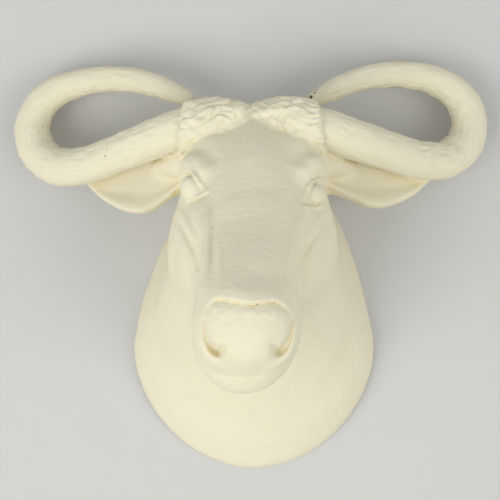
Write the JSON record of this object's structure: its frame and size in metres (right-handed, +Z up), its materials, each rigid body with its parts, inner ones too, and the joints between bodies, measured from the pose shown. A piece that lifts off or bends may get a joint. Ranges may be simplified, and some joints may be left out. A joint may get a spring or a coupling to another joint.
{
  "type": "buffalo head wall sculpture",
  "caption": "Cast plaster buffalo head with looping horns, leaf-shaped ears and a shield-shaped neck, made with a flat back to hang on a wall.",
  "frame": {"origin": "on the flat back face, level with the middle of the head's height and midway between the horns", "axes": "+X along the span of the horns, to the right as the front is seen; +Y out of the flat back, into the wall; +Z up"},
  "size_m": [0.473, 0.2746, 0.4097],
  "materials": {
    "cream_plaster": "matt cast plaster, unpainted cream"
  },
  "bodies": {
    "root": {"buffalo_head": "cream_plaster"}
  },
  "joints": []
}
